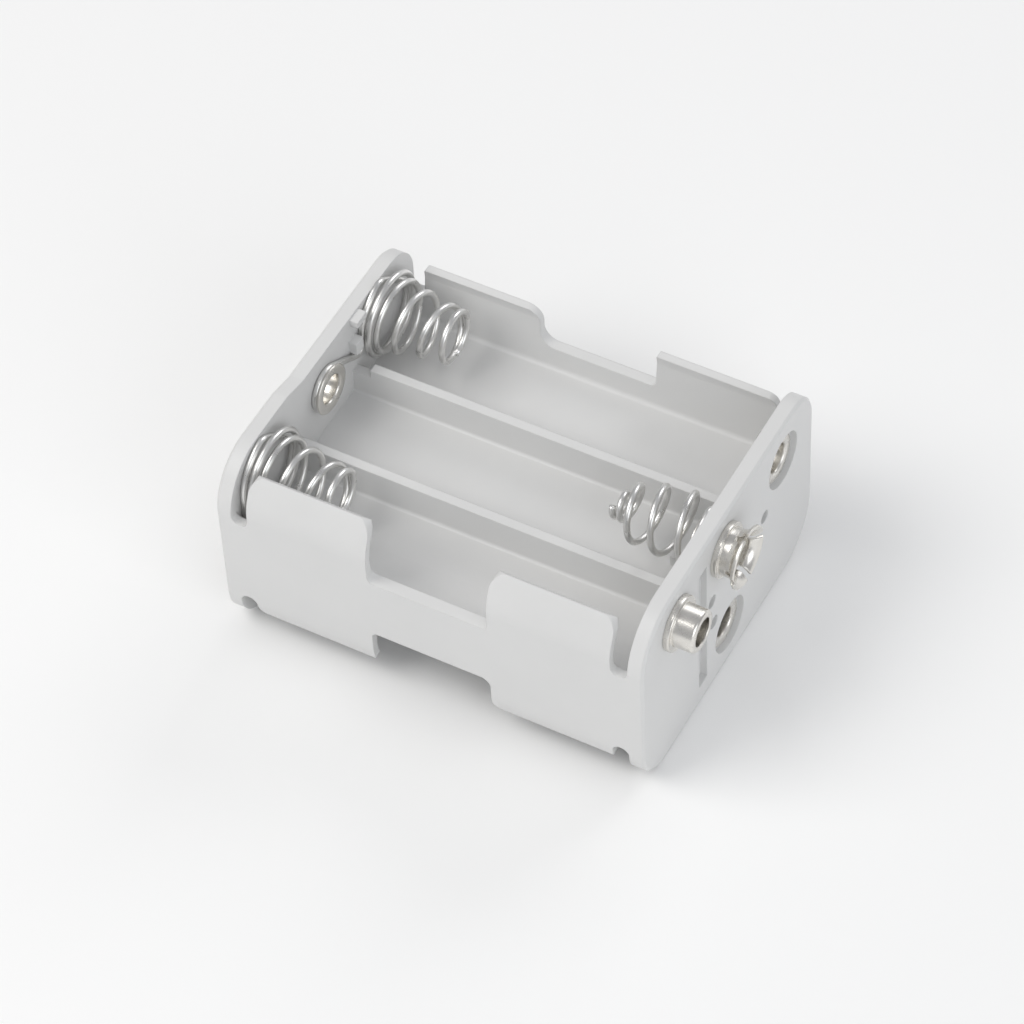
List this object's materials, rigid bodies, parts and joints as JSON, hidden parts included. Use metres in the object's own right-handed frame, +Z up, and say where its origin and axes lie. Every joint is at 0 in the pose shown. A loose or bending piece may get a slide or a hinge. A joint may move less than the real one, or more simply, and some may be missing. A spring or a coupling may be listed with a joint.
{
  "type": "nine-volt battery holder",
  "caption": "Open moulded holder for six AA cells in two back-to-back layers, with coil-spring contacts and a plain and a slotted snap terminal at one end.",
  "frame": {"origin": "middle of the overall size, terminals included, on the plane the end plates stand on", "axes": "+X along the cells towards the snap terminals, +Y towards the back wall, +Z up"},
  "size_m": [0.0626, 0.0462, 0.0286],
  "materials": {
    "plastic": "light grey, satin moulded surface",
    "spring_steel": "nickel-plated spring wire",
    "nickel": "nickel plate, softly polished"
  },
  "bodies": {
    "holder": {"housing": "plastic", "eyelet_top_middle": "nickel", "eyelet_top_back": "nickel", "eyelet_bottom_front": "nickel", "eyelet_bottom_middle": "nickel", "eyelet_bottom_back": "nickel", "stud_terminal": "nickel", "socket_terminal": "nickel", "stud_rivet": "nickel", "socket_rivet": "nickel"},
    "spring_top_back": {"spring_top_back": "spring_steel"},
    "spring_top_middle": {"spring_top_middle": "spring_steel"},
    "spring_top_front": {"spring_top_front": "spring_steel"},
    "spring_bottom_back": {"spring_bottom_back": "spring_steel"},
    "spring_bottom_middle": {"spring_bottom_middle": "spring_steel"},
    "spring_bottom_front": {"spring_bottom_front": "spring_steel"}
  },
  "joints": [
    {"name": "spring_top_back_press", "type": "slide", "parent": "holder", "child": "spring_top_back", "axis": [-1, 0, 0], "range_m": [0, 0.0081], "stiffness_N_per_m": 600, "deforming": ["spring_top_back"]},
    {"name": "spring_top_middle_press", "type": "slide", "parent": "holder", "child": "spring_top_middle", "axis": [1, 0, 0], "range_m": [0, 0.0104], "stiffness_N_per_m": 600, "deforming": ["spring_top_middle"]},
    {"name": "spring_top_front_press", "type": "slide", "parent": "holder", "child": "spring_top_front", "axis": [-1, 0, 0], "range_m": [0, 0.0081], "stiffness_N_per_m": 600, "deforming": ["spring_top_front"]},
    {"name": "spring_bottom_back_press", "type": "slide", "parent": "holder", "child": "spring_bottom_back", "axis": [1, 0, 0], "range_m": [0, 0.0081], "stiffness_N_per_m": 600, "deforming": ["spring_bottom_back"]},
    {"name": "spring_bottom_middle_press", "type": "slide", "parent": "holder", "child": "spring_bottom_middle", "axis": [-1, 0, 0], "range_m": [0, 0.0104], "stiffness_N_per_m": 600, "deforming": ["spring_bottom_middle"]},
    {"name": "spring_bottom_front_press", "type": "slide", "parent": "holder", "child": "spring_bottom_front", "axis": [1, 0, 0], "range_m": [0, 0.0081], "stiffness_N_per_m": 600, "deforming": ["spring_bottom_front"]}
  ]
}
